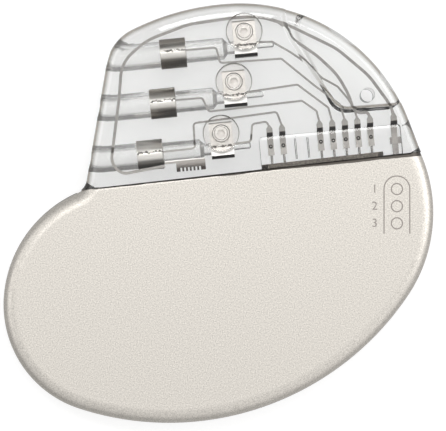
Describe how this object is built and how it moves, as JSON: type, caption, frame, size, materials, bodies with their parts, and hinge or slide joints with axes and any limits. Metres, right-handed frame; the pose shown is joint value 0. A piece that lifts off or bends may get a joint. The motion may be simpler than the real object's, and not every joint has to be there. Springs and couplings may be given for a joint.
{
  "type": "cardiac pacemaker",
  "caption": "Implantable heart pacemaker: rounded metal can with a clear header that holds lead ports, setscrew blocks, ring contacts and an antenna.",
  "frame": {"origin": "under the middle of the outline, on the plane of the flat back face", "axes": "+X along the lead bores, from the open mouths towards the blind ends; +Y from the metal can towards the clear header; +Z out of the front face"},
  "size_m": [0.0588, 0.0554, 0.006],
  "materials": {
    "can": "bead-blasted titanium",
    "weld_band": "plain titanium strip",
    "clear_epoxy": "clear cast epoxy, polished",
    "clear_fill": "clear silicone back-fill",
    "septum_silicone": "translucent silicone",
    "screw_steel": "machined titanium alloy",
    "block_steel": "bright machined stainless steel",
    "contact_steel": "turned stainless alloy",
    "spring_alloy": "drawn platinum alloy wire",
    "wire_alloy": "photo-etched flat wire",
    "ferrule_metal": "machined titanium",
    "white_ceramic": "fired alumina",
    "filter_ceramic": "fired capacitor ceramic",
    "pin_platinum": "drawn platinum wire",
    "battery_metal": "drawn battery case",
    "seal_glass": "fused glass seal",
    "frame_plastic": "moulded liner plastic",
    "board_green": "coated circuit laminate",
    "chip_black": "moulded chip package",
    "crystal_can": "plated metal lid",
    "capacitor_tan": "fired ceramic with plated ends",
    "capacitor_yellow": "moulded capacitor case",
    "flex_amber": "polyimide film with copper"
  },
  "bodies": {
    "device": {"antenna": "wire_alloy", "antenna_anchor": "wire_alloy", "atrial_connector_block": "block_steel", "atrial_contact_spring": "spring_alloy", "atrial_ring_contact": "contact_steel", "atrial_ring_wire": "wire_alloy", "atrial_septum": "septum_silicone", "atrial_tip_wire": "wire_alloy", "battery_case": "battery_metal", "battery_lid": "battery_metal", "battery_seal": "seal_glass", "battery_strap": "wire_alloy", "battery_terminal": "pin_platinum", "can_back_shell": "can", "can_front_shell": "can", "chip_capacitors": "capacitor_tan", "circuit_board": "board_green", "circuit_frame": "frame_plastic", "feedthrough_ceramic": "white_ceramic", "feedthrough_ferrule": "ferrule_metal", "feedthrough_filter": "filter_ceramic", "feedthrough_flex": "flex_amber", "feedthrough_pins": "pin_platinum", "ground_bracket": "wire_alloy", "header_backfill": "clear_fill", "header_body": "clear_epoxy", "left_ventricular_connector_block": "block_steel", "left_ventricular_contact_spring": "spring_alloy", "left_ventricular_ring_contact": "contact_steel", "left_ventricular_ring_wire": "wire_alloy", "left_ventricular_septum": "septum_silicone", "left_ventricular_tip_wire": "wire_alloy", "magnet_sensor": "chip_black", "memory_chip": "chip_black", "motion_sensor": "chip_black", "output_capacitors": "capacitor_yellow", "processor_chip": "chip_black", "quartz_crystal": "crystal_can", "right_ventricular_connector_block": "block_steel", "right_ventricular_contact_spring": "spring_alloy", "right_ventricular_ring_contact": "contact_steel", "right_ventricular_ring_wire": "wire_alloy", "right_ventricular_septum": "septum_silicone", "right_ventricular_tip_wire": "wire_alloy", "telemetry_chip": "chip_black", "weld_backing_band": "weld_band"},
    "atrial_screw": {"atrial_setscrew": "screw_steel"},
    "left_ventricular_screw": {"left_ventricular_setscrew": "screw_steel"},
    "right_ventricular_screw": {"right_ventricular_setscrew": "screw_steel"}
  },
  "joints": [
    {"name": "atrial_screw_travel", "type": "slide", "parent": "device", "child": "atrial_screw", "axis": [0, 0, -1], "range_m": [0, 0.0009]},
    {"name": "left_ventricular_screw_travel", "type": "slide", "parent": "device", "child": "left_ventricular_screw", "axis": [0, 0, -1], "range_m": [0, 0.0009]},
    {"name": "right_ventricular_screw_travel", "type": "slide", "parent": "device", "child": "right_ventricular_screw", "axis": [0, 0, -1], "range_m": [0, 0.0009]}
  ]
}
